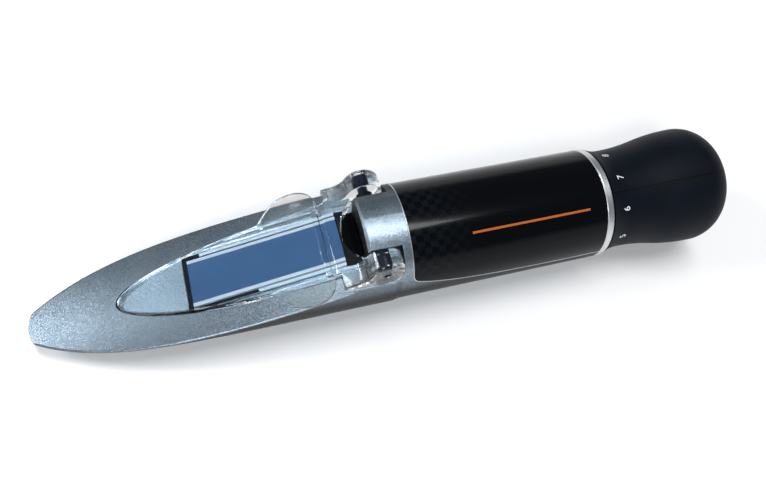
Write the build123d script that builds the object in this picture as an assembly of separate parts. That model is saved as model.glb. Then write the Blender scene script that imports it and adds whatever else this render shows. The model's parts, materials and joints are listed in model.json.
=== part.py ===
from build123d import *
import os
from math import asin, cos, degrees, radians, sin, tan

# Optical hand-held refractometer: a boat-shaped metal body with a sloping prism under a clear
# hinged daylight plate, and a tube with a focusing eyepiece in a rubber cup.
# Millimetres. x runs from the nose tip along the tube's axis, +Y is the user's right hand with the
# eyepiece at the eye, +Z is up and z = 0 is the tube's axis. The last function stands the finished
# pieces on the belly, with the origin on the surface below the middle of the instrument.

seam_angle = -120         # where the round pieces' seams lie, away from the label's edges

# Fits
running = 0.05            # radial gap where one round piece turns or slides in another
seat = 0.02               # radial gap where a round piece is pressed or cemented in
play = 0.1                # gap between flat faces that pass each other
lay_gap = 0.1             # gap between the closed daylight plate and the stage

# Tube and collar
collar_front = 91.2       # front face of the collar, behind the prism
tube_end = 161.0          # rear end of the tube
tube_radius = 16.3
tube_wall = 2.3           # behind the hinge
tube_bore = tube_radius - tube_wall
hinge_bore_end = 102.5    # the bore is narrower under the hinge, up to here
collar_chamfer = 0.7

# Nose hull
hull_end = 98.0           # the hull keeps its full section up to here
blend_end = 103.0         # and has sunk into the tube here, by this much
blend_sink = 0.6
slope_end = 86.0          # end of the sloping top
tip_half_width = 8.0      # ellipse that the hull's section is cut from, at the tip
hull_overhang = (0.2, 1.7)    # at the end of the slope it stands out of the tube: sideways, downwards
full_half_width = tube_radius + hull_overhang[0]
full_depth = tube_radius + hull_overhang[1]
tip_round = (4.0, 6.3)    # half ellipse that rounds the tip seen from above: length, half width
width_fullness = 5.0      # how fast the section swells behind the tip
depth_fullness = 4.0
section_count = 7
section_crowding = 1.3    # above 1, the sections stand closer together towards the tip
hull_arc = 250.0          # degrees of the ellipse that the hull's section keeps, about its lowest point
belly_drop = 1.2          # the flat belly lies this much below the tube, level with the eyecup's crest
belly_depth = tube_radius + belly_drop
rim_angle = 11.7          # slope of the nose's rim, degrees
crown = 1.0               # the top's middle line stands this much above the rim
crown_radius = 85.0       # it is domed across to this radius
rim_round = 0.5           # rounding along the rim of the nose

# Stage and daylight plate
stage_angle = 13.5        # slope of the prism's face and of the plate
plate_tip = 24.7
plate_widest = 1.0        # the plate is half an ellipse, widest this far behind the step
plate_thickness = 2.2
plate_edge = 0.35         # small chamfer round the plate's top
recess_gap = 0.4          # between the plate's edge and its recess
tab_front = 64.5          # finger tabs
tab_crest = 75.5
tab_back = 82.6
tab_reach = 0.8           # the tabs stand out past the tube's side by this much
tab_span = 2 * (tube_radius + tab_reach)
tab_thickness = 1.4
tab_root = (1.3, 0.6)     # how far its front and back corners stand inside the plate's widest line
step_front = 83.6         # step where the plate thickens towards the hinge
step_height = 0.9
step_inset = 0.5          # the step stands inside the plate's widest line by this much
step_reach = 1.6          # and reaches this far under the knuckles
fork_arc_front = 86.5     # foremost point of the arc between the fork's arms
fork_arc_radius = 10.4

# Hinge
hinge_x = 94.8
hinge_drop = 4.6          # the hinge's axis lies this much below the tube's top
hinge_z = tube_radius - hinge_drop
pin_radius = 1.4
pin_cover = 0.9           # metal left between the pin and the bore under it
hinge_bore = hinge_z - pin_radius - pin_cover
pin_chamfer = 0.2
knuckle_radius = 5.1
knuckle_inset = 0.9       # the knuckles' outer faces stand this much inside the tube's side
knuckle_width = 5.6
knuckle_outer = tube_radius - knuckle_inset
knuckle_inner = knuckle_outer - knuckle_width
knuckle_round = 1.2
arm_drop = 1.8            # the arms' front end lies this much below the hinge's axis
arm_fillet = 5.0          # concave sweep from arm to knuckle
washer_room = 1.5         # between a knuckle and the collar
washer_radius = 2.3
collar_half_width = knuckle_inner - washer_room
pin_sunk = 0.45           # the pin's outer end lies this deep in the knuckle
pin_outer_end = knuckle_outer - pin_sunk
pin_hold = 4.8            # length of pin pressed into the collar
pin_inner_end = collar_half_width - pin_hold
pocket_room = (0.7, 0.4)  # room round the knuckle: behind it and below it
pocket_front = 84.5
pocket_back = hinge_x + knuckle_radius + pocket_room[0]
pocket_floor = hinge_z - knuckle_radius - pocket_room[1]
pocket_round = 4.0
arm_overlap = 1.5         # the plate reaches this far under each arm
plate_half_width = knuckle_inner + arm_overlap
stage_fall = 25.18        # from the hinge's axis to the stage plane, if that is carried to the tip
stage_height = hinge_z - stage_fall
rim_rise = 1.83           # the rim of the nose stands this much above the stage plane at the tip
rim_tip_height = stage_height + rim_rise
tip_height = 1.35         # height of the hull's section at the tip, below the rim
tip_depth = tip_height - rim_tip_height

# Prism
prism_front = 44.5
prism_rear = 86.0
prism_half_width = 7.3
prism_bevel = (1.4, 0.45)     # ground bevel along the long edges: across, down
prism_front_height = 3.2
prism_bottom_front = 51.0
prism_bottom = (-9.0, -7.5)   # underside at its front and at the rear face
cradle_wall = 0.9
cradle_floor = 1.3
seal_depth = 0.5
seal_drop = 0.15          # the seal lies this much below the stage
shroud_drop = 5.0         # its top lies this much below the hinge's axis
shroud_top = hinge_z - shroud_drop
shroud_lip = 0.5
shroud_lip_x = 89.3
shroud_window = (5.8, -6.5, 4.4)   # half width, lower and upper edge of its light opening

# Label
label_front = 102.9
label_thickness = 0.25
label_low = (-0.2, 1.2, 5.0)  # height of its lower edge at the end ring, midway and at the front
label_mid = 122.0
label_corner = 2.2

# Zero setting: objective lens lifted by a screw in the underside
zero_x = 110.5
guide_length = 9.4
guide_side = 3.0          # left of the guide beside the flats that the objective cell slides between
guide_half_width = tube_bore - guide_side
guide_wall = 1.2
objective_bore = 6.5
objective_lip = 1.0
objective_wall = 1.5      # the guide's and the clip's openings are wider than the bore by this much
objective_ring_width = 1.3
objective_edge = 1.8      # edge thickness of the objective lens and the rise of its curved face
objective_rise = 1.1
objective_travel = 0.4    # up and down
cell_gap = (0.8, 2.7)     # between the objective cell and the tube's bore: all round and below
cell_round = tube_bore - cell_gap[0]
cell_bottom = cell_gap[1] - tube_bore
zero_screw_radius = 1.5
zero_screw_wall = 1.6     # left between the end of its thread and the lens
zero_head_recess = 0.3    # the head lies this deep in its bush
zero_head = (2.3, 1.1)    # radius and height of the screw's head
zero_slot = (0.7, 0.55)   # width and depth of its slot
zero_bush_radius = 3.4
zero_bush_inset = (0.4, 1.1)  # its ends lie inside the tube's outside and inside the tube's bore
zero_bush = (zero_bush_inset[0] - tube_radius, zero_bush_inset[1] - tube_bore)
zero_clip = (2.4, 0.45)

# Tube's inner parts
baffle_x = 131.0
baffle_hole = 7.6
baffle_thickness = 1.5
bush_front = 147.0
reticle_seat = 3.8        # the reticle is smaller than the tube's bore by this much
reticle_radius = tube_bore - reticle_seat
reticle_thickness = 1.6
reticle_ring_width = 1.6
reticle_wall = 1.2        # wall between the reticle and the lens cell's bore

# Focusing eyepiece
ring_width = 2.0          # silver end ring
ring_proud = 0.1          # it stands out of the tube by this much
ring_radius = tube_radius + ring_proud
ring_chamfer = 0.25
spigot_step = 2.5         # the spigot is smaller than the tube's bore by this much
spigot_radius = tube_bore - spigot_step
spigot_length = 15.5      # lengths of this kind are counted from the tube's rear end
spigot_end = tube_end + spigot_length
spigot_wall = 2.5
cell_radius = spigot_radius - spigot_wall     # bore of the bush in which the lens cell slides
bush_aperture_lip = 0.6
bush_aperture = cell_radius - bush_aperture_lip
ring_gap = 0.4            # between end ring and eyecup
counterbore_step = 0.9    # the focus ring's counterbore clears the spigot by this much
sleeve_counterbore = spigot_radius + counterbore_step
sleeve_wall = 0.6
sleeve_radius = sleeve_counterbore + sleeve_wall  # outside of the focus ring, under the rubber
sleeve_length = 26.0
sleeve_end = tube_end + sleeve_length
counterbore_setback = 12.6    # where the focus ring's counterbore starts
sleeve_step = tube_end + counterbore_setback
clip_setback = 13.6
focus_clip_x = tube_end + clip_setback
focus_clip_width = 0.9
focus_clip_groove = 0.9
insert_setback = 16.6
insert_front = tube_end + insert_setback
thread_height = 0.8       # the lens cell's threaded collar stands out of it by this much
insert_radius = cell_radius + thread_height   # thread radius of the helicoid insert
o_ring_setback = 6.5
o_ring_x = tube_end + o_ring_setback
o_ring_radius = 0.6
cell_cover = 0.5          # at rest the lens cell's front stands this far inside the tube
lens_front = tube_end - cell_cover
lens_wall = 1.6
lens_bore = cell_radius - lens_wall
thread_setback = 19.2
collar_start = tube_end + thread_setback      # threaded collar of the lens cell
cell_length = 27.1
cell_end = lens_front + cell_length
lens_lip = 1.2
field_lens = (3.4, 1.0)   # centre and edge thickness
eye_lens = (4.2, 1.4)
lens_ring_width = 1.3
lens_seat = 1.1           # width of the seat that holds a lens by its rim
lens_clear = lens_bore - lens_seat
guide_pin_setback = 5.0
guide_pin_x = tube_end + guide_pin_setback
guide_pin_radius = 0.9
guide_pin_reach = 0.8     # depth of the lens cell's groove that the pin reaches
guide_pin_tip = cell_radius - guide_pin_reach
focus_turn = (-252.0, 72.0)   # degrees: the ring is numbered 0 to 9 and rests at 7
focus_pitch = 4.4             # travel of the lens cell in one turn

# Eyecup
cup_length = 39.0
cup_waist_x = 6.0         # behind its front edge
cup_waist_wall = 1.85     # rubber outside the focus ring at the waist
cup_flare = 1.35          # the front edge stands out of the waist by this much
cup_crest_x = 8.0         # in front of its back edge
cup_mouth_radius = 11.2
cup_lip = 1.0
cup_corner = 3.0          # radius where the bell turns in towards the mouth
cup_wall = 2.4
cup_shelf = (1.5, 1.2)    # rubber behind the focus ring: thickness, and how far it clears the insert

end_ring_end = tube_end + ring_width
cup_front = end_ring_end + ring_gap
overall_length = cup_front + cup_length


def stage_z(x):
    """Height of the stage plane at a station."""
    return stage_height + x * tan(radians(stage_angle))


def along(x):
    """Distance along the stage from the station of the nose tip."""
    return x / cos(radians(stage_angle))


def swell(x, tip, full, fullness):
    """Size of the hull's section, growing from the tip to the end of the slope."""
    return tip + (full - tip) * (1 - (1 - x / slope_end) ** fullness)


def across(x):
    """Plane square to the axis: local x is +Y and local y is +Z."""
    return Plane(origin=(x, 0, 0), x_dir=(0, 1, 0), z_dir=(1, 0, 0))


def ring(x0, x1, outer, inner=0.0):
    """A round disc or ring on the axis."""
    profile = Circle(outer) - Circle(inner) if inner else Circle(outer)
    return extrude(across(x0) * Rot(0, 0, seam_angle) * profile, x1 - x0)


def turned(*points):
    """A solid turned about the axis from (x, radius) points."""
    return revolve(Plane.XZ * make_face(Polyline(*points, close=True)), Axis.X)


def ball(radius):
    """A ball whose poles and seam lie off the axis."""
    return Rot(0, 0, 90) * Sphere(radius)


def side_slab(profile, y0, y1):
    """A profile drawn in the side view, given a width from y0 to y1."""
    return extrude(Plane.XZ.offset(-y0) * profile, y0 - y1)


def on_stage(profile, low, high):
    """A profile drawn on the stage, between two heights above it."""
    plane = Plane(
        origin=(0, 0, stage_height),
        x_dir=(cos(radians(stage_angle)), 0, sin(radians(stage_angle))),
        z_dir=(-sin(radians(stage_angle)), 0, cos(radians(stage_angle))),
    )
    return extrude(plane.offset(low) * profile, high - low)


def both_sides(piece):
    return piece + mirror(piece, about=Plane.XZ)


# Body casing

def hull_section(x):
    """Section of the nose before its top is cut: the lower two thirds of an ellipse."""
    depth = swell(x, tip_depth, full_depth, depth_fullness)
    half_width = swell(x, tip_half_width, full_half_width, width_fullness)
    side = EllipticalCenterArc((0, 0), half_width, depth, 270 - hull_arc / 2, arc_size=hull_arc)
    return across(x) * make_face([side, Line(side @ 1, side @ 0)])


def ledge_section(x, depth, half_width):
    """Section below the pocket floor, from the end of the slope to the tube."""
    rise = degrees(asin(pocket_floor / depth))
    side = EllipticalCenterArc((0, 0), half_width, depth, 180 - rise, arc_size=180 + 2 * rise)
    section = make_face([side, Line(side @ 1, side @ 0)])
    return across(x) * fillet(section.vertices(), rim_round)


def nose_hull():
    """The boat-shaped nose: swelling sections, cut by a slope that is domed across."""
    steps = [i / (section_count - 1) for i in range(section_count)]
    stations = [slope_end * step ** section_crowding for step in steps]
    hull = loft([hull_section(x) for x in stations])
    slope = radians(rim_angle)
    top = rim_tip_height + crown
    dome = Plane(
        origin=(crown_radius * sin(slope), 0, top - crown_radius * cos(slope)),
        x_dir=(0, 1, 0),
        z_dir=(cos(slope), 0, sin(slope)),
    )
    hull &= extrude(dome.offset(-slope_end) * Circle(crown_radius), 3 * slope_end)
    upper = hull.faces().filter_by(GeomType.CYLINDER)[0]
    hull = fillet(upper.edges().filter_by(GeomType.BSPLINE), rim_round)
    reach, half_width = tip_round
    corners = Rectangle(reach, 2 * half_width, align=(Align.MIN, Align.CENTER))
    corners -= Pos(reach, 0) * Ellipse(reach, half_width)
    hull -= Pos(0, 0, -2 * tube_radius) * extrude(corners, 4 * tube_radius)
    hull += extrude(ledge_section(slope_end, full_depth, full_half_width), hull_end - slope_end)
    hull += loft([
        ledge_section(hull_end, full_depth, full_half_width),
        ledge_section(blend_end, tube_radius - blend_sink, tube_radius - blend_sink - seat),
    ])
    return hull - Pos(hull_end / 2, 0, -belly_depth) * Box(
        2 * hull_end, 4 * tube_radius, tube_radius, align=(Align.CENTER, Align.CENTER, Align.MAX)
    )


def knuckle_pocket():
    """Room for one knuckle at the collar's +Y side."""
    profile = make_face(
        Polyline(
            (pocket_front, pocket_floor),
            (pocket_back, pocket_floor),
            (pocket_back, 2 * tube_radius),
            (pocket_front, 2 * tube_radius),
            close=True,
        )
    )
    corner = profile.vertices().sort_by_distance((pocket_back, pocket_floor, 0))[0]
    return side_slab(fillet(corner, pocket_round), collar_half_width, 2 * tube_radius)


def prism_side(grow=0.0, top=0.0):
    """Side view of the prism, grown by the cradle's clearance, its top moved along the height."""
    front, rear = prism_front - grow, prism_rear
    low_front, low_rear = prism_bottom
    return make_face(
        Polyline(
            (front, stage_z(front) + top),
            (rear, stage_z(rear) + top),
            (rear, low_rear - grow),
            (prism_bottom_front, low_front - grow),
            (front, stage_z(prism_front) - prism_front_height - grow / 2),
            close=True,
        )
    )


def body_casing():
    tube = turned(
        (collar_front, 0),
        (collar_front, tube_radius - collar_chamfer),
        (collar_front + collar_chamfer, tube_radius),
        (tube_end, tube_radius),
        (tube_end, 0),
    )
    body = nose_hull() + tube
    body -= both_sides(knuckle_pocket())
    body -= on_stage(plate_outline(recess_gap), 0, tube_radius)
    pocket_wall = prism_half_width + cradle_wall + seat
    body -= side_slab(prism_side(cradle_floor + seat, play), -pocket_wall, pocket_wall)
    low = prism_bottom[0] - cradle_floor - seat
    body -= Pos(prism_rear, 0, low) * Box(
        collar_front - prism_rear, 2 * pocket_wall, 2 * tube_radius,
        align=(Align.MIN, Align.CENTER, Align.MIN),
    )
    body -= ring(collar_front, hinge_bore_end, hinge_bore)
    body -= ring(hinge_bore_end, tube_end, tube_bore)
    body -= label_form(tube_radius - label_thickness - seat, 2 * tube_radius, seat * 2)
    pin_hole = extrude(
        Plane.XZ.offset(-pin_inner_end) * Pos(hinge_x, hinge_z) * Circle(pin_radius + seat),
        pin_inner_end - tube_radius,
    )
    body -= both_sides(pin_hole)
    body -= Pos(zero_x, 0, 0) * Cylinder(
        zero_bush_radius + seat, 2 * tube_radius, align=(Align.CENTER, Align.CENTER, Align.MAX)
    )
    return body


def label_form(inner, outer, grow=0.0):
    """The label's wrap between two radii, grown at its free edges."""
    low_end, low_mid, low_front = label_low
    back = tube_end
    lower = Spline(
        (back, low_end - grow), (label_mid, low_mid - grow), (label_front - grow, low_front - grow),
        tangents=((-1, 0), (-1, 0.35)),
    )
    side = make_face([
        lower,
        Polyline(
            lower @ 1, (label_front - grow, 2 * tube_radius), (back, 2 * tube_radius), lower @ 0
        ),
    ])
    corner = side.vertices().sort_by_distance((label_front - grow, low_front - grow, 0))[0]
    side = fillet(corner, label_corner)
    wrap = ring(label_front - grow, tube_end, outer, inner)
    return wrap & side_slab(side, -2 * tube_radius, 2 * tube_radius)


# Daylight plate

def plate_outline(grow=0.0):
    """Outline of the plate without its tabs, drawn on the stage."""
    wide = along(step_front) + plate_widest
    nose = EllipticalCenterArc(
        (wide, 0), wide - along(plate_tip) + grow, plate_half_width + grow, 90, arc_size=180
    )
    return make_face([nose, Line(nose @ 1, nose @ 0)])


def tab_outline():
    """One finger tab at the +Y side, drawn on the stage."""
    front_root, back_root = tab_root
    front = (along(tab_front), plate_half_width - front_root)
    crest = (along(tab_crest), tab_span / 2)
    back = (along(tab_back), plate_half_width - back_root)
    rise = Spline(front, crest, tangents=((0.8, 0.6), (1, 0)))
    fall = Spline(crest, back, tangents=((1, 0), (0.15, -1)))
    return make_face([rise, fall, Line(back, front)])


def fork_arm():
    """One arm with its knuckle at the +Y side."""
    foot = hinge_z - knuckle_radius
    flank = make_face(
        Polyline(
            (step_front, stage_z(step_front) + lay_gap),
            (hinge_x, foot),
            (hinge_x, hinge_z),
            (step_front, hinge_z - arm_drop),
            close=True,
        )
    )
    profile = flank + Pos(hinge_x, hinge_z) * Circle(knuckle_radius)
    throat = profile.vertices().sort_by_distance((hinge_x - knuckle_radius, hinge_z, 0))[0]
    arm = side_slab(fillet(throat, arm_fillet), knuckle_inner, knuckle_outer)
    arm = fillet(arm.faces().sort_by(Axis.Y)[-1].edges(), knuckle_round)
    bore = extrude(
        Plane.XZ.offset(play - knuckle_inner) * Pos(hinge_x, hinge_z) * Circle(pin_radius + running),
        knuckle_inner - knuckle_outer - 2 * play,
    )
    return arm - bore


def daylight_plate():
    base = lay_gap
    top = base + plate_thickness
    panel = on_stage(plate_outline(), base, top)
    upper = panel.faces().sort_by(lambda f: f.normal_at().Z)[-1]
    panel = chamfer(upper.edges().sort_by(Axis.X)[:-1], plate_edge)
    tab = on_stage(tab_outline(), top - tab_thickness, top)
    front, rear = along(step_front), along(hinge_x - knuckle_radius + step_reach)
    block = Pos((front + rear) / 2, 0) * Rectangle(rear - front, 2 * (plate_half_width - step_inset))
    gap = Pos(along(fork_arc_front) + fork_arc_radius, 0) * Circle(fork_arc_radius)
    bridge = on_stage(block - gap, base, top + step_height)
    return panel + both_sides(tab) + bridge + both_sides(fork_arm())


def hinge_pin():
    """The +Y pin: pressed into the collar, with the knuckle turning on it."""
    length = pin_outer_end - pin_inner_end
    pin = extrude(Plane.XZ.offset(-pin_inner_end) * Pos(hinge_x, hinge_z) * Circle(pin_radius), -length)
    return chamfer(pin.edges().sort_by(Axis.Y)[-1], pin_chamfer)


def hinge_washer():
    """The +Y washer, filling the gap between the collar and the knuckle."""
    face = Circle(washer_radius) - Circle(pin_radius + seat)
    thickness = knuckle_inner - play - collar_half_width
    return extrude(Plane.XZ.offset(-collar_half_width) * Pos(hinge_x, hinge_z) * face, -thickness)


# Prism, cradle, seal and shroud

def prism():
    glass = side_slab(prism_side(), -prism_half_width, prism_half_width)
    bevel_across, bevel_down = prism_bevel
    top_face = glass.faces().sort_by(lambda f: f.normal_at().Z)[-1]
    long_edges = top_face.edges().filter_by(lambda e: abs(e.center().Y) > prism_half_width / 2)
    return chamfer(long_edges, bevel_down, bevel_across, reference=top_face)


def prism_cradle():
    """The black trough that the prism is cemented into."""
    inside, outside = prism_half_width + seat, prism_half_width + cradle_wall
    block = side_slab(prism_side(cradle_floor, -seal_drop - seal_depth), -outside, outside)
    return block - side_slab(prism_side(seat, play), -inside, inside)


def prism_seal():
    """The black seal between the prism's edges and the stage."""
    half = prism_half_width + cradle_wall
    upper = side_slab(prism_side(cradle_floor, -seal_drop), -half, half)
    lower = side_slab(prism_side(cradle_floor, -seal_drop - seal_depth), -half, half)
    inside = prism_half_width + seat
    return upper - lower - side_slab(prism_side(seat, play), -inside, inside)


def prism_shroud():
    """The black light shield that closes the gap between the prism and the collar."""
    half = prism_half_width + cradle_wall
    low = prism_bottom[0] - cradle_floor
    front = prism_rear + play
    side = make_face(
        Polyline(
            (front, low),
            (collar_front, low),
            (collar_front, shroud_top - shroud_lip),
            (shroud_lip_x, shroud_top - shroud_lip),
            (shroud_lip_x, shroud_top),
            (front, shroud_top),
            close=True,
        )
    )
    half_window, window_low, window_high = shroud_window
    window = make_face(
        Polyline((-half_window, window_low), (half_window, window_low), (half_window, window_high),
                 (-half_window, window_high), close=True)
    )
    return side_slab(side, -half, half) - extrude(across(prism_front) * window, tube_end)


# Zero setting: objective guide, cell, lens and the screw in the underside

guide_front = zero_x - guide_length / 2
guide_back = zero_x + guide_length / 2
objective_front = guide_front + guide_wall + play + objective_lip


def objective_guide():
    """A cup in the tube whose two flats lead the objective cell up and down."""
    cup = ring(guide_front, guide_back, tube_bore - seat, objective_bore + objective_wall)
    slot = Pos(guide_front + guide_wall, 0, 0) * Box(
        guide_length, 2 * (guide_half_width + running), 4 * tube_bore,
        align=(Align.MIN, Align.CENTER, Align.CENTER),
    )
    return cup - slot


def objective_clip():
    """The ring that keeps the objective cell in its guide."""
    return ring(guide_back, guide_back + guide_wall, tube_bore - seat, objective_bore + objective_wall)


def objective_cell():
    front, back = guide_front + guide_wall + play, guide_back - play
    cell = ring(front, back, cell_round, objective_bore - objective_lip)
    cell -= ring(objective_front, back, objective_bore)
    flats = Pos(zero_x, 0, cell_bottom) * Box(
        2 * guide_length, 2 * guide_half_width, 2 * cell_round,
        align=(Align.CENTER, Align.CENTER, Align.MIN),
    )
    thread = Pos(zero_x, 0, cell_bottom) * Cylinder(zero_screw_radius + running, 2 * screw_reach())
    return (cell & flats) - thread


def screw_reach():
    """How far the zero screw's thread stands in the objective cell at rest."""
    return -cell_bottom - objective_bore - zero_screw_wall


def objective_lens():
    """A lens with a flat front and a curved back."""
    edge, rise = objective_edge, objective_rise
    rim = objective_bore - seat
    face = (rim ** 2 + rise ** 2) / (2 * rise)
    blank = ring(objective_front, objective_front + edge + rise + play, rim)
    return blank & Pos(objective_front + edge + rise - face, 0, 0) * ball(face)


def objective_ring():
    """Threaded ring behind the objective lens."""
    start = objective_front + objective_edge + objective_rise
    return ring(start, guide_back - 2 * play, objective_bore - seat, objective_bore - objective_ring_width)


def zero_screw_bush():
    low, high = zero_bush
    bush = Pos(zero_x, 0, low) * Cylinder(
        zero_bush_radius, high - low, align=(Align.CENTER, Align.CENTER, Align.MIN)
    )
    head_radius, head_height = zero_head
    head_room = Pos(zero_x, 0, low) * Cylinder(
        head_radius + 2 * running, 2 * (head_height + zero_head_recess + play)
    )
    bore = Pos(zero_x, 0, low) * Cylinder(zero_screw_radius + running, 4 * tube_radius)
    return bush - head_room - bore


def zero_screw():
    head_radius, head_height = zero_head
    head_low = zero_bush[0] + zero_head_recess
    head = Pos(zero_x, 0, head_low) * Cylinder(
        head_radius, head_height, align=(Align.CENTER, Align.CENTER, Align.MIN)
    )
    shank_length = cell_bottom + screw_reach() - head_low - objective_travel - play
    shank = Pos(zero_x, 0, head_low) * Cylinder(
        zero_screw_radius, shank_length, align=(Align.CENTER, Align.CENTER, Align.MIN)
    )
    slot_width, slot_depth = zero_slot
    slot = Pos(zero_x, 0, head_low) * Box(4 * head_radius, slot_width, 2 * slot_depth)
    return head + shank - slot


def zero_screw_clip():
    outer, thickness = zero_clip
    washer = Cylinder(outer, thickness, align=(Align.CENTER, Align.CENTER, Align.MIN))
    hole = Cylinder(zero_screw_radius + seat, 4 * thickness)
    return Pos(zero_x, 0, zero_bush[1] + play / 2) * (washer - hole)


# Tube's inner parts

def light_baffle():
    return ring(baffle_x, baffle_x + baffle_thickness, tube_bore - seat, baffle_hole)


reticle_front = bush_front + reticle_ring_width
reticle_back = reticle_front + reticle_thickness


def reticle_disc():
    return ring(reticle_front, reticle_back, reticle_radius - seat)


def reticle_ring():
    return ring(bush_front, reticle_front, reticle_radius - seat, bush_aperture)


def eyepiece_bush():
    """Plug in the tube's end: carries the reticle, the lens cell and, on its spigot, the focus ring."""
    shoulder = reticle_back + reticle_wall
    bush = turned(
        (bush_front, reticle_radius),
        (bush_front, tube_bore - seat),
        (end_ring_end, tube_bore - seat),
        (end_ring_end, spigot_radius),
        (spigot_end, spigot_radius),
        (spigot_end, cell_radius),
        (shoulder, cell_radius),
        (shoulder, bush_aperture),
        (reticle_back, bush_aperture),
        (reticle_back, reticle_radius),
    )
    clip_back = focus_clip_x + focus_clip_width
    clip_floor = spigot_radius - focus_clip_groove
    bush -= ring(focus_clip_x - seat, clip_back + seat, spigot_radius + play, clip_floor)
    groove = 2 * o_ring_radius + play
    groove_front, groove_back = o_ring_x - groove / 2, o_ring_x + groove / 2
    bush -= ring(groove_front, groove_back, spigot_radius + play, spigot_radius - groove)
    pin_hole = Pos(guide_pin_x, 0, 0) * Cylinder(
        guide_pin_radius + seat, 2 * tube_radius, align=(Align.CENTER, Align.CENTER, Align.MIN)
    )
    return bush - pin_hole


def end_ring():
    return turned(
        (tube_end, tube_bore),
        (tube_end, ring_radius - ring_chamfer),
        (tube_end + ring_chamfer, ring_radius),
        (end_ring_end - ring_chamfer, ring_radius),
        (end_ring_end, ring_radius - ring_chamfer),
        (end_ring_end, tube_bore),
    )


def guide_pin():
    length = spigot_radius - play - guide_pin_tip
    return Pos(guide_pin_x, 0, guide_pin_tip) * Cylinder(
        guide_pin_radius, length, align=(Align.CENTER, Align.CENTER, Align.MIN)
    )


def focus_clip():
    inner = spigot_radius - focus_clip_groove + seat
    return ring(focus_clip_x, focus_clip_x + focus_clip_width, sleeve_counterbore - 3 * play, inner)


def focus_o_ring():
    """A hidden ring, so an eight-sided section will do."""
    section = Pos(o_ring_x, spigot_radius - o_ring_radius - play / 2) * RegularPolygon(o_ring_radius, 8)
    return revolve(Plane.XZ * section, Axis.X)


# Focus ring and eyecup

def focus_ring():
    return turned(
        (cup_front, spigot_radius + running),
        (cup_front, sleeve_radius),
        (sleeve_end, sleeve_radius),
        (sleeve_end, sleeve_counterbore),
        (sleeve_step, sleeve_counterbore),
        (sleeve_step, spigot_radius + running),
    )


def helicoid_insert():
    """Threaded ring in the focus ring that drives the lens cell."""
    return ring(insert_front, sleeve_end, sleeve_counterbore - seat, insert_radius)


def eyecup():
    """Soft rubber cup: a flared front edge, a waist and a bell that curls in at the eye."""
    back = cup_front + cup_length
    waist = (cup_front + cup_waist_x, sleeve_radius + cup_waist_wall)
    crest = (back - cup_crest_x, belly_depth)
    middle = ((waist[0] + crest[0]) / 2, (waist[1] + crest[1]) / 2)
    edge = cup_mouth_radius + cup_lip
    length, height = cup_crest_x, belly_depth - edge
    large = ((length - cup_corner) ** 2 + height ** 2 - cup_corner ** 2) / (2 * (height - cup_corner))
    reach = large / (large - cup_corner)
    turn = (crest[0] + (length - cup_corner) * reach, crest[1] - large + (large - height) * reach)
    flare = TangentArc(waist, (cup_front, waist[1] + cup_flare), tangent=(-1, 0))
    hollow = TangentArc(waist, middle, tangent=(1, 0))
    swelling = TangentArc(crest, middle, tangent=(-1, 0))
    bell = TangentArc(crest, turn, tangent=(1, 0))
    corner = TangentArc(turn, (back, edge), tangent=bell % 1)
    inner_crest = (crest[0], crest[1] - cup_wall)
    shelf_depth, shelf_width = cup_shelf
    shelf = (sleeve_end + shelf_depth, insert_radius + shelf_width)
    inner_bell = TangentArc(inner_crest, (back - cup_lip, cup_mouth_radius), tangent=(1, 0))
    inner_front = TangentArc(inner_crest, shelf, tangent=(-1, 0))
    round_in = 1 - cos(radians(45))
    lip = ThreePointArc(
        corner @ 1,
        (back - cup_lip * round_in, cup_mouth_radius + cup_lip * round_in),
        inner_bell @ 1,
    )
    seat_radius = sleeve_radius + seat
    rest = Polyline(
        shelf, (sleeve_end + seat, shelf[1]), (sleeve_end + seat, seat_radius),
        (cup_front, seat_radius), flare @ 1,
    )
    profile = make_face([flare, hollow, swelling, bell, corner, lip, inner_bell, inner_front, rest])
    return revolve(Plane.XZ * profile, Axis.X)


# Lens cell

def lens_cell():
    """Tube for the eyepiece lenses: slides in the bush, kept from turning by the guide pin."""
    body = cell_radius - running
    cell = turned(
        (lens_front, lens_bore - lens_lip),
        (lens_front, body),
        (collar_start, body),
        (collar_start, insert_radius - running),
        (cell_end, insert_radius - running),
        (cell_end, lens_bore),
        (lens_front + lens_lip, lens_bore),
        (lens_front + lens_lip, lens_bore - lens_lip),
    )
    back_travel, front_travel = (abs(turn) / 360 * focus_pitch for turn in focus_turn)
    slot_front = guide_pin_x - guide_pin_radius - front_travel - 2 * play
    slot_back = guide_pin_x + guide_pin_radius + back_travel + 2 * play
    slot = Pos(slot_front, 0, guide_pin_tip - play) * Box(
        slot_back - slot_front, 2 * (guide_pin_radius + running), cell_radius,
        align=(Align.MIN, Align.CENTER, Align.MIN),
    )
    return cell - slot


def lens_radius(centre, edge, rim):
    """Radius of the two equal faces of a lens."""
    bulge = (centre - edge) / 2
    return (rim ** 2 + bulge ** 2) / (2 * bulge)


def lens_rise(centre, edge, rim, radius):
    """How far a face stands out of the plane of its edge, at a radius inside the rim."""
    face = lens_radius(centre, edge, rim)
    return (centre - edge) / 2 - face + (face ** 2 - radius ** 2) ** 0.5


def lens(edge_front, centre, edge, rim):
    """A lens with two equal curved faces, placed by the front of its edge."""
    face = lens_radius(centre, edge, rim)
    front = edge_front - (centre - edge) / 2
    blank = ring(front - play, front + centre + play, rim)
    return blank & Pos(front + face, 0, 0) * ball(face) & Pos(front + centre - face, 0, 0) * ball(face)


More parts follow.
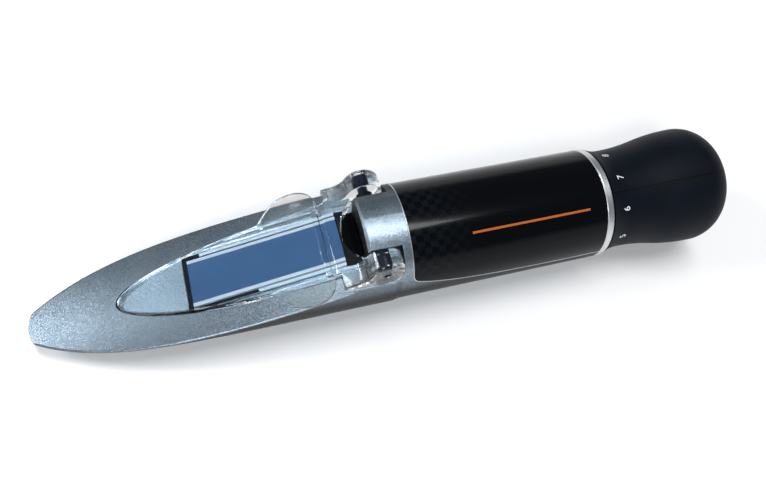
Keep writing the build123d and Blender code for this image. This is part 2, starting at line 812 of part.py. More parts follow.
lens_rim = lens_bore - seat
field_edge = lens_front + lens_lip + lens_rise(*field_lens, lens_rim, lens_bore - lens_lip)
spacer_front = field_edge + field_lens[1] + lens_rise(*field_lens, lens_rim, lens_clear)
lens_ring_front = cell_end - lens_ring_width
eye_edge = lens_ring_front - eye_lens[1] - lens_rise(*eye_lens, lens_rim, lens_clear)
spacer_back = eye_edge - lens_rise(*eye_lens, lens_rim, lens_clear)


def field_lens_glass():
    return lens(field_edge, *field_lens, lens_rim)


def eye_lens_glass():
    return lens(eye_edge, *eye_lens, lens_rim)


def lens_spacer():
    return ring(spacer_front, spacer_back, lens_rim, lens_clear)


def lens_ring():
    return ring(lens_ring_front, cell_end, lens_rim, lens_clear)


def tube_label():
    return label_form(tube_radius - label_thickness, tube_radius)


parts = {
    "body_casing": body_casing,
    "tube_label": tube_label,
    "end_ring": end_ring,
    "prism": prism,
    "prism_cradle": prism_cradle,
    "prism_seal": prism_seal,
    "prism_shroud": prism_shroud,
    "hinge_pin_right": hinge_pin,
    "hinge_washer_right": hinge_washer,
    "hinge_pin_left": lambda: mirror(hinge_pin(), about=Plane.XZ),
    "hinge_washer_left": lambda: mirror(hinge_washer(), about=Plane.XZ),
    "objective_guide": objective_guide,
    "objective_clip": objective_clip,
    "zero_screw_bush": zero_screw_bush,
    "light_baffle": light_baffle,
    "eyepiece_bush": eyepiece_bush,
    "reticle_disc": reticle_disc,
    "reticle_ring": reticle_ring,
    "guide_pin": guide_pin,
    "focus_clip": focus_clip,
    "focus_o_ring": focus_o_ring,
    "daylight_plate": daylight_plate,
    "focus_ring": focus_ring,
    "helicoid_insert": helicoid_insert,
    "eyecup": eyecup,
    "lens_cell": lens_cell,
    "field_lens": field_lens_glass,
    "lens_spacer": lens_spacer,
    "eye_lens": eye_lens_glass,
    "lens_ring": lens_ring,
    "objective_cell": objective_cell,
    "objective_lens": objective_lens,
    "objective_ring": objective_ring,
    "zero_screw": zero_screw,
    "zero_screw_clip": zero_screw_clip,
}

stand = Location((-overall_length / 2, 0, belly_depth))
os.makedirs("parts", exist_ok=True)
for name, make in parts.items():
    export_step(stand * make(), f"parts/{name}.step")
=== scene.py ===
# %% [markdown]
# # A hand-held refractometer
# The instrument is a boat-shaped metal body with a sloping blue prism, a clear hinged plate that
# presses the sample onto the prism, and a tube that ends in a rubber eyecup. Its solids come from the
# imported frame, which stays as it is. This notebook gives them their finishes, adds the small pieces
# that the solids leave out, and sets up the light and the camera.

# %% Load the frame
import json
from math import cos, degrees, radians, sin

import bpy
from mathutils import Matrix, Vector


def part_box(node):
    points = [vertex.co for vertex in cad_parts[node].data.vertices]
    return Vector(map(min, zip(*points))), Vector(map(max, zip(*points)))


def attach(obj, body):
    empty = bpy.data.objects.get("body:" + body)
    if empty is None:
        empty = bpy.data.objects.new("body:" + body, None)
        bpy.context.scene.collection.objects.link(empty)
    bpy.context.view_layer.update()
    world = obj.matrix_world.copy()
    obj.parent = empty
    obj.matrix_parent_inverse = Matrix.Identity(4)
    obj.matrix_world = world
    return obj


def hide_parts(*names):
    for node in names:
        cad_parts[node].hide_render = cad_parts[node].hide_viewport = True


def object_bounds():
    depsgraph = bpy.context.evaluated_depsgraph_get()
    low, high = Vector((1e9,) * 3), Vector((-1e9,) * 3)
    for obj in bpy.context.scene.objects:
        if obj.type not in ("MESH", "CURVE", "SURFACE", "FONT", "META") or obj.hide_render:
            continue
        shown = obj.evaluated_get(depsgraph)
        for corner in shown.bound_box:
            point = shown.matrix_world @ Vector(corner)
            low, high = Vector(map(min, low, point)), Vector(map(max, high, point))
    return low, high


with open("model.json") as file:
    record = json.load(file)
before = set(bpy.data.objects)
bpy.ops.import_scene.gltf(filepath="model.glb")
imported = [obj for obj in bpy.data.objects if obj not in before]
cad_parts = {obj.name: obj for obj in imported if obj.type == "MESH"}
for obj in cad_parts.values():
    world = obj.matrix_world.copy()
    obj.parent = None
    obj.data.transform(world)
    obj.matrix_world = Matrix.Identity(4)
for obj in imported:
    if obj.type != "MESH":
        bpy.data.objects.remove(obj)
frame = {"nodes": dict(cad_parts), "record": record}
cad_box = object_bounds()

mm = 0.001

# %% [markdown]
# ## The tube's axis
# Every measure below is taken along the tube. Its axis is level, at the height of the middle of the
# silver end ring, and stations are counted from the tip of the nose, as a maker would lay them out.
# The axis is read from the solids and not typed in, so a pattern stays on it if the solids change.

# %% Find the tube's axis
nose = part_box("body_casing")[0].x
axis_height = sum(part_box("end_ring"), Vector()).z / 2
tube_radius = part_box("tube_label")[1].z - axis_height


def station(x, y=0.0, z=0.0):
    """A point in the frame, from millimetres along the tube, to its right and above its axis."""
    return Vector((nose + x * mm, y * mm, axis_height + z * mm))


print("axis at", round(axis_height / mm, 2), "mm, radius", round(tube_radius / mm, 2), "mm")

# %% [markdown]
# ## Shader maths
# A finish is a little graph of nodes. It could be wired by hand in the Shader Editor, but written as
# Python maths it stays readable. So one class wraps a socket: each operator on it adds the Math node
# that does the same, `mix` blends two colours, and `node` adds any other kind.


# %% A socket that can be added and multiplied
class Shade:
    """A socket of a material's nodes, for use in Python maths."""

    def __init__(self, socket):
        self.socket = socket

    def node(self, kind, settings=(), sockets=(), out=0):
        """Adds a node: its settings first, then a number, a colour or a Shade for each socket."""
        tree = self.socket.id_data
        made = tree.nodes.new(kind)
        for name, value in dict(settings).items():
            setattr(made, name, value)
        for name, value in dict(sockets).items():
            if isinstance(value, Shade):
                tree.links.new(value.socket, made.inputs[name])
            else:
                made.inputs[name].default_value = value
        return Shade(made.outputs[out]) if made.outputs else None

    def maths(self, operation, first, second=0.0):
        return self.node("ShaderNodeMath", {"operation": operation}, {0: first, 1: second})

    def __add__(self, other):
        return self.maths("ADD", self, other)

    def __sub__(self, other):
        return self.maths("SUBTRACT", self, other)

    def __rsub__(self, other):
        return self.maths("SUBTRACT", other, self)

    def __mul__(self, other):
        return self.maths("MULTIPLY", self, other)

    def __pow__(self, other):
        return self.maths("POWER", self, other)

    def __gt__(self, other):
        return self.maths("GREATER_THAN", self, other)

    def __lt__(self, other):
        return self.maths("LESS_THAN", self, other)

    def __abs__(self):
        return self.maths("ABSOLUTE", self)

    __radd__, __rmul__ = __add__, __mul__

    def vector(self, operation, other=(0.0, 0.0, 0.0)):
        """Vector maths on this socket and another vector."""
        return self.node("ShaderNodeVectorMath", {"operation": operation}, {0: self, 1: other})

    def mix(self, low, high):
        """Between two colours, with this as the mask. Their sockets on a Mix node are 6 and 7."""
        return self.node("ShaderNodeMix", {"data_type": "RGBA"}, {0: self, 6: low, 7: high}, out=2)

    def stretch(self, low, high, first, last):
        """Carries the range from low to high over to the one from first to last, and clamps it."""
        return self.node("ShaderNodeMapRange", {}, {
            "Value": self, "From Min": low, "From Max": high, "To Min": first, "To Max": last,
        })


print("operators for shades: + - * ** > < abs")

# %% [markdown]
# A material starts from the place on the object, which is in metres and the same for every piece, so a
# pattern runs on from one solid to the next. It ends in one Principled shader. Most patterns of this
# instrument follow its tube, so two more helpers give the coordinates and the angle round the axis.


# %% Start and end a material
def begin(tree, coordinates):
    """Empties a tree of nodes, and returns the coordinates that its patterns read."""
    tree.nodes.clear()
    return Shade(tree.nodes.new("ShaderNodeTexCoord").outputs[coordinates])


def start(name):
    """An empty material, and the place on the object."""
    material = bpy.data.materials.new(name)
    material.use_nodes = True
    return material, begin(material.node_tree, "Object")


def end(place, sockets):
    """Closes a material with a Principled shader that has these sockets."""
    shader = place.node("ShaderNodeBsdfPrincipled", {}, sockets)
    shader.node("ShaderNodeOutputMaterial", {}, {"Surface": shader})


def opaque(red, green, blue):
    return (red, green, blue, 1)


# %% Patterns and places
def noise(place, size, detail=2.0):
    """Soft random patches of about this size in metres, from 0 to 1."""
    return place.node("ShaderNodeTexNoise", {}, {"Vector": place, "Scale": 1 / size, "Detail": detail})


def bump(place, height, depth, strength=1.0):
    """Leans the surface as if the height stood out of it by this depth in metres."""
    return place.node(
        "ShaderNodeBump", {}, {"Height": height, "Distance": depth, "Strength": strength}
    )


def axes(place):
    """How far along, across to the right and up a place is."""
    split = place.node("ShaderNodeSeparateXYZ", {}, {0: place})
    return [Shade(output) for output in split.socket.node.outputs]


def turn(across, up):
    """The angle round the tube: nought on top, growing towards the near side."""
    return across.node("ShaderNodeMath", {"operation": "ARCTAN2"}, {0: across * -1, 1: up - axis_height})


# %% [markdown]
# ## Silver paint
# The casing is cast aluminium with a coat of silver-blue metallic paint. A plain metal shader would
# look like chrome, and a rough one like sand. Paint has flakes that lie at slightly different angles,
# so each catches the light on its own: small Voronoi cells with a random tilt do the same. Each flake
# also gets a random brightness in its colour, partly grain and partly painted glint. Seen edge on,
# Layer Weight darkens the colour to a warm grey: partly the flop of metallic paint, partly painted
# shade on the underside and the rims. A Bevel node softens the solid's sharp edges as paint does;
# it feeds Layer Weight too, so the rounded edges come out lighter, which is a painted highlight.

# %% Flakes and their tilt
silver_paint, place = start("silver_paint")
flake_size, flake_tilt, paint_round = 0.17 * mm, 0.18, 0.4 * mm
flake = place.node("ShaderNodeTexVoronoi", {}, {"Vector": place, "Scale": 1 / flake_size}, out=1)
spread = flake.vector("SUBTRACT", (0.5, 0.5, 0.5))
tilt = spread.node("ShaderNodeVectorMath", {"operation": "SCALE"}, {0: spread, "Scale": flake_tilt})
level = place.node("ShaderNodeBevel", {"samples": 6}, {"Radius": paint_round})
leaning = level.vector("ADD", tilt).vector("NORMALIZE")
print("flakes of", round(flake_size / mm, 2), "mm")

# %% Colour of the paint, with painted glints and painted shade
# Each flake's random brightness in the base colour is partly grain and partly a painted glint.
grain_and_painted_glint = flake.node("ShaderNodeSeparateColor", {}, {0: flake})
mottle_and_painted_glint = grain_and_painted_glint * 0.75 + noise(place, 12 * mm) * 0.25
facing = place.node("ShaderNodeLayerWeight", {}, {"Blend": 0.5, "Normal": level}, out=1)
# Darker seen edge on, to a warm grey: metallic flop and painted shade of the underside and rims.
flop_and_painted_shade = facing.stretch(0.24, 0.6, 0.0, 0.92)
lit = mottle_and_painted_glint.mix(opaque(0.07, 0.10, 0.13), opaque(0.37, 0.45, 0.52))
end(place, {
    "Base Color": flop_and_painted_shade.mix(lit, opaque(0.052, 0.048, 0.044)),
    "Specular Tint": opaque(0.35, 0.35, 0.35),
    "Metallic": 0.9,
    "Roughness": noise(place, 0.6 * mm) * 0.1 + 0.29,
    "Normal": leaning,
    "Coat Weight": 0.12,
    "Coat Roughness": 0.18,
})
print(len(silver_paint.node_tree.nodes), "nodes in", silver_paint.name)

# %% [markdown]
# ## Label
# The label is a black gloss film with a woven look under its surface. A flat checker would stretch
# over the round tube, so it reads the station and the length of arc round the axis, and soft noise
# makes its squares a little uneven. The weave shows near the front and fades out behind. One orange
# line runs along the film, cut out by comparing the same two coordinates with its ends and its width.

# %% Orange line
label_black, place = start("label_black")
along, across, up = axes(place)
around = turn(across, up)
orange_angle, orange_half_width = radians(32.6), 0.32 * mm
orange_start, orange_end = station(120.3).x, station(155.6).x
near_line = abs(around - orange_angle) < orange_half_width / tube_radius
orange = near_line * (along > orange_start) * (along < orange_end)
print("line of", round((orange_end - orange_start) / mm, 1), "mm")

# %% Woven film
weave_square, weave_start, weave_end = 1.9 * mm, station(104).x, station(124).x
waver = noise(place, 2.5 * mm) * (0.9 * mm)
flat = place.node("ShaderNodeCombineXYZ", {}, {0: along + waver, 1: around * tube_radius + waver})
weave = place.node("ShaderNodeTexChecker", {}, {"Vector": flat, "Scale": 1 / weave_square}, out=1)
fade = along.stretch(weave_start, weave_end, 0.9, 0.0)
film = (weave * fade * noise(place, 4 * mm)).mix(
    opaque(0.0015, 0.0018, 0.0026), opaque(0.0065, 0.011, 0.0155)
)
end(place, {
    "Base Color": orange.mix(film, opaque(0.40, 0.10, 0.022)),
    "Roughness": noise(place, 3 * mm) * 0.05 + 0.12,
    "Specular IOR Level": 0.1,
    "Coat Weight": 0.05,
    "Coat Roughness": 0.05,
})
print(len(label_black.node_tree.nodes), "nodes in", label_black.name)

# %% [markdown]
# ## Turned metals
# Turned rings show fine grooves that run round the axis. They are too fine to model, and a bump from
# noise is enough. The noise reads the distance from the axis and the station and not the angle, so it
# is stretched into rings.


# %% Satin silver, brass, steel and black anodised metal
def turned(name, colour, roughness, groove, metallic=1.0):
    """A metal that was turned on a lathe, with grooves of this width in metres."""
    material, place = start(name)
    along, across, up = axes(place)
    height = up - axis_height
    out = (across * across + height * height) ** 0.5
    line = place.node("ShaderNodeCombineXYZ", {}, {0: along, 1: out})
    grooves = noise(line, groove, 3.0)
    dull = opaque(*(0.8 * part for part in colour))
    end(place, {
        "Base Color": (grooves * 0.5 + noise(place, 2 * mm) * 0.5).mix(dull, opaque(*colour)),
        "Metallic": metallic,
        "Roughness": grooves * 0.2 + roughness,
        "Normal": bump(place, grooves, 0.02 * mm, 0.4),
    })
    return material


satin_silver = turned("satin_silver", (0.66, 0.68, 0.70), 0.26, 0.12 * mm)
brass = turned("brass", (0.70, 0.54, 0.26), 0.2, 0.2 * mm)
steel = turned("steel", (0.58, 0.58, 0.57), 0.2, 0.15 * mm)
black_metal = turned("black_metal", (0.022, 0.022, 0.024), 0.42, 0.3 * mm, 0.6)
print("four turned metals")

# %% [markdown]
# ## Plastics and rubber
# Moulded black pieces differ in how rough they are and in how deep their texture is. One recipe takes
# both, with large patches for the colour and fine grain for the surface. It reflects very little, as
# the inside of an optical instrument should.


# %% Black plastics
def moulded(name, colour, roughness, grain, depth, coat=0.0):
    """A black plastic whose grain has this size and this depth in metres."""
    material, place = start(name)
    fine = noise(place, grain, 4.0)
    faded = opaque(*(0.75 * part for part in colour))
    end(place, {
        "Base Color": noise(place, 25 * grain).mix(faded, opaque(*colour)),
        "Roughness": fine * 0.12 + roughness,
        "Normal": bump(place, fine, depth, 0.6),
        "Coat Weight": coat,
        "Coat Roughness": 0.15,
        "Specular IOR Level": 0.03,
    })
    return material


black_plastic = moulded("black_plastic", (0.001, 0.0013, 0.002), 0.7, 0.25 * mm, 0.01 * mm)
pin_black = moulded("pin_black", (0.002, 0.0045, 0.014), 0.35, 0.3 * mm, 0.004 * mm)
washer_black = moulded("washer_black", (0.005, 0.007, 0.012), 0.3, 0.3 * mm, 0.004 * mm, 0.1)
print("three black plastics")

# %% [markdown]
# The seal round the prism shows bright metal along the long sides, and black in a wedge along the near
# side and across the front. That black is partly the dark seal and partly painted shadow in the recess
# round the prism. It could be two pieces, but one mask that reads the place is simpler: everything in
# front of a wavy line is black.

# %% Seal
seal_rubber, place = start("seal_rubber")
along, across, up = axes(place)
front_edge, wedge, waviness = station(45.8).x, 14 * mm, 4 * mm
wavy = noise(place, 3 * mm)
# The black in front of the wavy line is partly the dark seal, partly painted shadow in the recess.
black = along < (across < 0) * wedge + wavy * waviness + front_edge
end(place, {
    "Base Color": black.mix(opaque(0.30, 0.36, 0.41), opaque(0.001, 0.002, 0.004)),
    "Metallic": 0.9 - black * 0.9,
    "Roughness": wavy * 0.15 + 0.5,
    "Specular IOR Level": 0.02,
})
print(len(seal_rubber.node_tree.nodes), "nodes in", seal_rubber.name)

# %% [markdown]
# The eyecup is soft rubber, matt with a faint blue tint. The two halves of its mould leave a thin
# line along it, and a shallow groove runs round it just behind the end ring. Both are a comparison of
# one coordinate with a number, and feed the bump, so the mesh needs no extra edges.

# %% Eyecup rubber
cup_rubber, place = start("cup_rubber")
along, across, up = axes(place)
parting_angle, parting_half_width = radians(21), 0.011
ring_station, ring_half_width = station(164.9).x, 0.10 * mm
parting = abs(turn(across, up) - parting_angle) < parting_half_width
ring_groove = abs(along - ring_station) < ring_half_width
fine = noise(place, 0.22 * mm, 4.0)
smudges = noise(place, 7 * mm, 5.0)
rubber = smudges.mix(opaque(0.0007, 0.0016, 0.0036), opaque(0.0022, 0.0048, 0.0105))
end(place, {
    "Base Color": parting.mix(rubber, opaque(0.0002, 0.0002, 0.0003)),
    "Roughness": smudges * 0.12 + fine * 0.1 + 0.42,
    "Normal": bump(place, fine * 0.06 - parting - ring_groove, 0.2 * mm),
    "Specular IOR Level": 0.09,
    "Sheen Weight": 0.008,
    "Sheen Roughness": 0.4,
})
print(len(cup_rubber.node_tree.nodes), "nodes in", cup_rubber.name)

# %% [markdown]
# ## Glass and acrylic
# The daylight plate is clear acrylic, with finger tabs that handling has made a little milky. Full
# transmission bends the light as the real plate does. A shadow ray passes straight through, because
# light that is bent on its way to a lamp would need far more samples than it is worth.


# %% Clear pieces
def clear(name, colour, ior, roughness, reach=1.0):
    """A clear material that turns milky beyond this reach from the middle plane, in metres."""
    material, place = start(name)
    smears = noise(place, 9 * mm, 3.0)
    milky = abs(axes(place)[1]) > reach
    glass = place.node("ShaderNodeBsdfPrincipled", {}, {
        "Base Color": milky.mix(colour, opaque(0.80, 0.785, 0.76)),
        "Transmission Weight": 1.0,
        "IOR": ior,
        "Roughness": milky * 0.14 + smears * 0.03 + roughness,
        "Normal": bump(place, smears, 0.02 * mm, 0.1),
    })
    shadow = place.node("ShaderNodeLightPath", out=1)
    through = place.node("ShaderNodeBsdfTransparent", {}, {"Color": colour})
    both = place.node("ShaderNodeMixShader", {}, {0: shadow, 1: glass, 2: through})
    both.node("ShaderNodeOutputMaterial", {}, {"Surface": both})
    return material


clear_acrylic = clear("clear_acrylic", opaque(0.93, 0.965, 0.985), 1.49, 0.01, 11.6 * mm)
clear_glass = clear("clear_glass", opaque(0.97, 0.99, 0.98), 1.52, 0.0)
print("two clear materials")

# %% [markdown]
# The prism is glass too, but it is seen from above against the dark inside of the body, as a plain
# blue window. A glossy blue surface gives that look without tracing light through it. The bevels along
# its sides are ground matt, and show as two pale bands.

# %% Prism
prism_glass, place = start("prism_glass")
polished_half_width = 5.9 * mm
haze = noise(place, 14 * mm)
ground = abs(axes(place)[1]) > polished_half_width
blue = haze.mix(opaque(0.016, 0.043, 0.095), opaque(0.023, 0.058, 0.125))
end(place, {
    "Base Color": ground.mix(blue, opaque(0.21, 0.25, 0.29)),
    "Roughness": ground * 0.4 + haze * 0.04 + 0.05,
    "IOR": 1.6,
})
print(len(prism_glass.node_tree.nodes), "nodes in", prism_glass.name)

# %% [markdown]
# ## Finishes on the solids
# The record gives each solid a slot for its finish. The materials above are handed out by the names of
# the slots, so no list of solids has to be kept here. The solids come with plain materials of the same
# names, which is why Blender numbers the new ones.

# %% Hand out the finishes
finishes = {
    "silver_paint": silver_paint, "label_black": label_black, "satin_silver": satin_silver,
    "prism_glass": prism_glass, "black_metal": black_metal, "seal_rubber": seal_rubber,
    "black_plastic": black_plastic, "pin_black": pin_black, "washer_black": washer_black,
    "brass": brass, "steel": steel, "clear_glass": clear_glass, "clear_acrylic": clear_acrylic,
    "cup_rubber": cup_rubber,
}
for subpart in frame["record"]["subparts"]:
    frame["nodes"][subpart["node"]].material_slots[0].material = finishes[subpart["material_slot"]]

# %% [markdown]
# ## Tools for new pieces
# Each new piece is made with the same few operators, as it would be by hand. An operator acts on all
# that is selected, so everything is deselected before an object is added, and one object alone is
# selected before it is changed. A finished piece has its place in its mesh and rides on a body.


# %% Add, select and place
def added(operator, **settings):
    """Runs an operator that adds an object, with nothing else selected."""
    bpy.ops.object.select_all(action="DESELECT")
    operator(**settings)
    return bpy.context.object


def only(piece):
    """Selects one object alone, so that an operator acts on nothing else."""
    bpy.ops.object.select_all(action="DESELECT")
    piece.select_set(True)
    bpy.context.view_layer.objects.active = piece


def place_in_mesh(piece):
    """Applies a piece's place, turn and size, which leaves its object at the origin."""
    only(piece)
    bpy.ops.object.transform_apply(location=True, rotation=True, scale=True)
    return piece


def settle(piece, body, material, name):
    """Finishes a piece: its place, its name, its material and the body that carries it."""
    place_in_mesh(piece)
    piece.name = piece.data.name = name
    piece.data.materials.clear()
    piece.data.materials.append(material)
    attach(piece, body)


# %% Copy and modify
def merged_copy(solid):
    """A copy of a solid, with its loose triangles joined at their corners."""
    only(solid)
    bpy.ops.object.duplicate()
    bpy.ops.object.mode_set(mode="EDIT")
    bpy.ops.mesh.select_all(action="SELECT")
    bpy.ops.mesh.remove_doubles(threshold=0.002 * mm)
    bpy.ops.object.mode_set(mode="OBJECT")
    return bpy.context.object


def modify(piece, kind, **settings):
    """Adds a modifier and applies it."""
    only(piece)
    modifier = piece.modifiers.new(kind.lower(), kind)
    for name, value in settings.items():
        setattr(modifier, name, value)
    bpy.ops.object.modifier_apply(modifier=modifier.name)


def combine(piece, other, operation):
    """Joins a piece with another one or cuts it with it, which uses the other one up."""
    modify(piece, "BOOLEAN", object=other, operation=operation, solver="EXACT")
    bpy.data.objects.remove(other)


# %% [markdown]
# ## The daylight plate
# The plate is one clear moulding, and clear things show by their edges alone. So the solid's mesh is
# copied and worked on: its knuckles are closed round the pins as the eye sees them, a rib and a
# rounded step are added in front of the fork, a shallow groove is cut round the pad that meets the
# prism, and every edge is rounded to catch the light. It all lies on the sloping stage, so a matrix
# that is turned with the stage lets the new forms be given in plain millimetres.

# %% Frame of the sloping stage
slope, stage_drop = radians(13.5), 13.48
stage = Matrix((
    (cos(slope), 0, -sin(slope)),
    (0, 1, 0),
    (sin(slope), 0, cos(slope)),
)).to_4x4()
stage.translation = station(0, 0, -stage_drop)


def block(low, high):
    """A box between two corners given in millimetres along, across and above the stage."""
    low, high = Vector(low) * mm, Vector(high) * mm
    made = added(bpy.ops.mesh.primitive_cube_add, size=1.0)
    made.matrix_world = stage @ Matrix.Translation((low + high) / 2) @ Matrix.Diagonal((*(high - low), 1))
    return place_in_mesh(made)


def crossbar(middle, radius, length):
    """A round bar across the instrument, from the matrix of its middle and two sizes."""
    made = added(bpy.ops.mesh.primitive_cylinder_add, vertices=48, radius=radius, depth=length)
    made.matrix_world = middle @ Matrix.Rotation(radians(90), 4, "X")
    return place_in_mesh(made)


print("stage rises", round(degrees(slope), 1), "degrees")

# %% [markdown]
# The copy's flat faces are many thin triangles, which would shade unevenly once their edges are
# rounded. Limited Dissolve turns each flat back into one face. Then a short bar fills the bore of each
# knuckle, so the dark pins are seen through solid acrylic.

# %% Copy and close the moulding
hinge_station, knuckle_middle, hinge_height = 94.8, 12.4, 11.7
plate = merged_copy(frame["nodes"]["daylight_plate"])
bpy.ops.object.mode_set(mode="EDIT")
bpy.ops.mesh.select_all(action="SELECT")
bpy.ops.mesh.dissolve_limited(angle_limit=radians(1))
bpy.ops.mesh.normals_make_consistent(inside=False)
bpy.ops.object.mode_set(mode="OBJECT")
for side in (-1, 1):
    middle = Matrix.Translation(station(hinge_station, side * knuckle_middle, hinge_height))
    combine(plate, crossbar(middle, 1.6 * mm, 5.0 * mm), "UNION")
print(len(plate.data.polygons), "faces after closing the knuckles")

# %% Rounded step and rib
rib_half_width, rib_round = 10.8, 0.5 * mm
step = stage @ Matrix.Translation((86.0 * mm, 0, 2.3 * mm))
combine(plate, crossbar(step, 0.9 * mm, 2 * rib_half_width * mm), "UNION")
rib = block((82.6, -rib_half_width, 1.2), (84.4, rib_half_width, 3.3))
modify(rib, "BEVEL", width=rib_round, segments=3)
combine(plate, rib, "UNION")
print(len(plate.data.polygons), "faces with the step and the rib")

# %% Groove round the pad
pad_half_width, groove_half_width, groove_depth = 8.7, 9.7, 0.75
groove = block((45.5, -groove_half_width, -1), (83.8, groove_half_width, groove_depth))
pad = block((40, -pad_half_width, -2), (82.9, pad_half_width, 2))
combine(groove, pad, "DIFFERENCE")
combine(plate, groove, "DIFFERENCE")
print(len(plate.data.polygons), "faces with the groove")

# %% [markdown]
# A bevel with two segments rounds every edge that is sharper than 28 degrees. Weighted normals then
# keep the large faces flat and leave the shading to the rounds. The finished plate takes the place of
# the solid's own mesh.

# %% Round the edges
modify(
    plate, "BEVEL", width=0.16 * mm, segments=2, limit_method="ANGLE", angle_limit=radians(28),
    use_clamp_overlap=True,
)
only(plate)
bpy.ops.object.shade_smooth_by_angle(angle=radians(50))
modify(plate, "WEIGHTED_NORMAL", weight=100, keep_sharp=True)
plate.name = plate.data.name = "clear_plate"
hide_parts("daylight_plate")
print(len(plate.data.polygons), "faces on the finished plate")

# %% [markdown]
# ## Label border, a painted highlight
# A thin bright bead frames the label. It is a painted highlight: it stands for the light caught by
# the rim of the recess that holds the label. It could be swept along a curve drawn by hand, but the
# outer face of the label's mesh already has the right outline. So the faces at the tube's radius are
# selected, their border is copied as a line of edges, and that line becomes a curve with a round
# section and then a mesh.

# %% Select the label's outer face
rim_highlight_bead_radius, skin_depth = 0.13 * mm, 0.03 * mm
skin = merged_copy(frame["nodes"]["tube_label"])
bpy.ops.object.mode_set(mode="EDIT")
bpy.ops.mesh.select_all(action="DESELECT")
bpy.ops.object.mode_set(mode="OBJECT")
for face in skin.data.polygons:
    corners = [skin.data.vertices[corner].co for corner in face.vertices]
    face.select = all(
        Vector((corner.y, corner.z - axis_height)).length > tube_radius - skin_depth
        for corner in corners
    )
print(sum(face.select for face in skin.data.polygons), "faces on the outside of the label")

# %% Bead round the label, a painted highlight
bpy.ops.object.mode_set(mode="EDIT")
bpy.ops.mesh.select_mode(type="FACE")
bpy.ops.mesh.region_to_loop()
bpy.ops.mesh.duplicate()
bpy.ops.mesh.separate(type="SELECTED")
bpy.ops.object.mode_set(mode="OBJECT")
rim_highlight_bead = next(made for made in bpy.context.selected_objects if made != skin)
bpy.data.objects.remove(skin)
only(rim_highlight_bead)
bpy.ops.object.convert(target="CURVE")
rim_highlight_bead.data.bevel_depth = rim_highlight_bead_radius
rim_highlight_bead.data.bevel_resolution = 2
bpy.ops.object.convert(target="MESH")
# The bright bead is a painted highlight on the rim of the label's recess.
settle(rim_highlight_bead, "body", satin_silver, "label_rim_highlight")
print(len(rim_highlight_bead.data.polygons), "faces on the bead")

# %% [markdown]
# ## Dial numbers
# The eyecup turns to focus, and white numbers from 0 to 9 are printed round its front edge, 36 degrees
# apart. Drawn in a material they would blur, so each is a text made into a mesh, laid on the rubber
# with a Shrinkwrap modifier and given the thickness of a coat of paint.

# %% White paint
white_print, place = start("white_print")
worn = noise(place, 0.4 * mm, 3.0)
end(place, {
    "Base Color": worn.mix(opaque(0.62, 0.65, 0.68), opaque(0.86, 0.88, 0.9)),
    "Roughness": worn * 0.2 + 0.45,
})
print(len(white_print.node_tree.nodes), "nodes in", white_print.name)

# %% Numbers round the eyecup
eyecup = frame["nodes"]["eyecup"]
near_top, near_top_angle, step_angle = 7, 4.8, 36    # 7 stands at 4.8 degrees from the top
dial_station, dial_radius, dial_lean = 168.0, 15.3, 0.17


def number_place(angle):
    """Where a number stands on the rubber: read from the eye's end, its face outwards."""
    outward = Vector((dial_lean, -sin(angle), cos(angle))).normalized()
    right = Vector((-1, 0, 0)).cross(outward).normalized()
    upright = Matrix((right, outward.cross(right), outward)).transposed().to_4x4()
    middle = station(dial_station, -dial_radius * sin(angle), dial_radius * cos(angle))
    return Matrix.Translation(middle) @ upright


for digit in range(10):
    text = added(bpy.ops.object.text_add)
    text.data.body = str(digit)
    text.data.size = 2.9 * mm
    text.data.align_x, text.data.align_y = "CENTER", "CENTER"
    text.data.resolution_u = 6
    text.matrix_world = number_place(radians(near_top_angle + step_angle * (near_top - digit)))
    only(text)
    bpy.ops.object.convert(target="MESH")
    modify(
        text, "SHRINKWRAP", target=eyecup, wrap_method="PROJECT", use_project_z=True,
        use_negative_direction=True, use_positive_direction=True, offset=0.015 * mm,
    )
    modify(text, "SOLIDIFY", thickness=0.03 * mm, offset=1.0)
    settle(text, "focus_ring", white_print, f"dial_number_{digit}")
print("ten numbers on the eyecup")

# %% [markdown]
# ## Floor
# The instrument lies on a pale floor that keeps its shadow. The floor is so pale that the lamps bring
# it to white, and it is small enough to stay white up to its edge.

# %% Floor
floor = added(
    bpy.ops.mesh.primitive_plane_add, size=1.5, location=(0, 0, min(cad_box[0].z, 0) - 0.02 * mm)
)
floor.name = "floor"
pale, place = start("pale_floor")
end(place, {
    "Base Color": noise(place, 0.3).mix(opaque(0.90, 0.90, 0.90), opaque(0.93, 0.93, 0.93)),
    "Roughness": 0.8,
    "Specular IOR Level": 0.1,
})
floor.data.materials.append(pale)
print("floor of", floor.dimensions.x, "m")

# %% [markdown]
# ## Lamps
# A long soft lamp overhead makes the highlight that runs along the collar and the tube. One beyond the
# nose, like a window, shines on its tip, and one near the camera fills the flank. They stand about two
# metres away, so that the floor round the instrument is lit evenly.


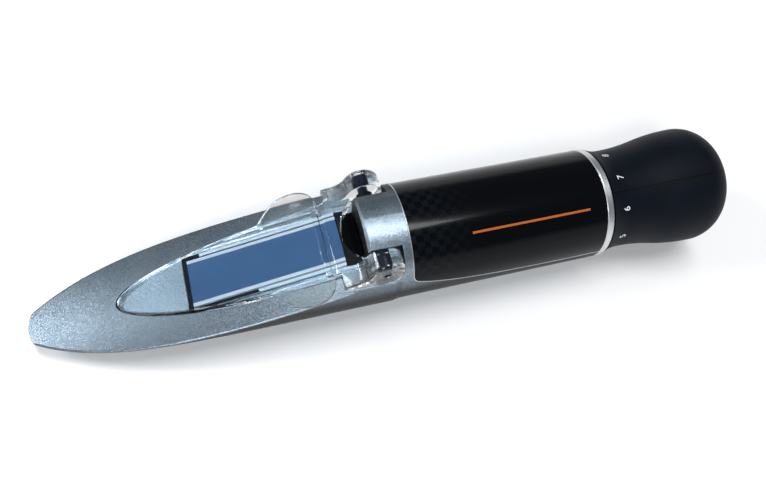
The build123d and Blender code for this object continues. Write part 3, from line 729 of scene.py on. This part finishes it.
# %% Three soft lamps
def lamp(name, place, target, size, power, colour=(1, 1, 1)):
    """A rectangular soft lamp that faces a target."""
    made = added(bpy.ops.object.light_add, type="AREA", location=place)
    made.name = name
    made.rotation_euler = (Vector(target) - Vector(place)).to_track_quat("-Z", "Y").to_euler()
    made.data.shape = "RECTANGLE"
    made.data.size, made.data.size_y = size
    made.data.energy, made.data.color = power, colour


lamp("overhead", (0.22, 0.12, 2.00), (0, 0, 0.02), (1.2, 0.4), 24.0)
lamp("window", (-1.50, 0.62, 1.12), (-0.09, 0, 0.01), (0.45, 0.5), 15.5, (0.95, 0.98, 1.0))
lamp("fill", (-0.75, -1.37, 1.55), (0.0, 0, 0.02), (0.75, 0.75), 22.0)
print("three lamps")

# %% [markdown]
# Metal and clear plastic show what is round them. A room that is white all over would wash them out,
# so the world is white up to a little above the horizon, as in a studio with a pale sweep, and dark
# grey above.

# %% Room
world = bpy.data.worlds.new("room")
bpy.context.scene.world = world
world.use_nodes = True
view = begin(world.node_tree, "Generated")
sweep_end, dark_start = 0.12, 0.3
wall = axes(view)[2].stretch(sweep_end, dark_start, 1.0, 0.0)
room = wall.node("ShaderNodeBackground", {}, {
    "Color": wall.mix(opaque(0.15, 0.165, 0.185), opaque(1, 1, 1)), "Strength": 1.0,
})
room.node("ShaderNodeOutputWorld", {}, {"Surface": room})
print(len(world.node_tree.nodes), "nodes in the room")

# %% [markdown]
# ## Camera
# The camera stands close, above and in front of the instrument, as it did for the photograph. Its
# place and turn were found by fitting points whose distances are known from the solids, so they are
# given as a point and two directions and not as a distance and an angle.

# %% Camera
camera = added(bpy.ops.object.camera_add)
camera.name = "camera"
camera.data.sensor_width, camera.data.lens = 36.0, 32.62
camera.data.clip_start, camera.data.clip_end = 0.01, 10
right, near_up = Vector((0.96, -0.2614, 0.1004)), Vector((0.1918, 0.8751, 0.4444))
back = right.cross(near_up).normalized()
up = back.cross(right).normalized()
camera.matrix_world = Matrix.Translation(station(57.95, -82.75, 175.85)) @ Matrix(
    (right.normalized(), up, back)
).transposed().to_4x4()
bpy.context.scene.camera = camera
bpy.context.scene.view_settings.view_transform = "Standard"
print("camera", round(camera.location.length / mm), "mm from the middle of the instrument")
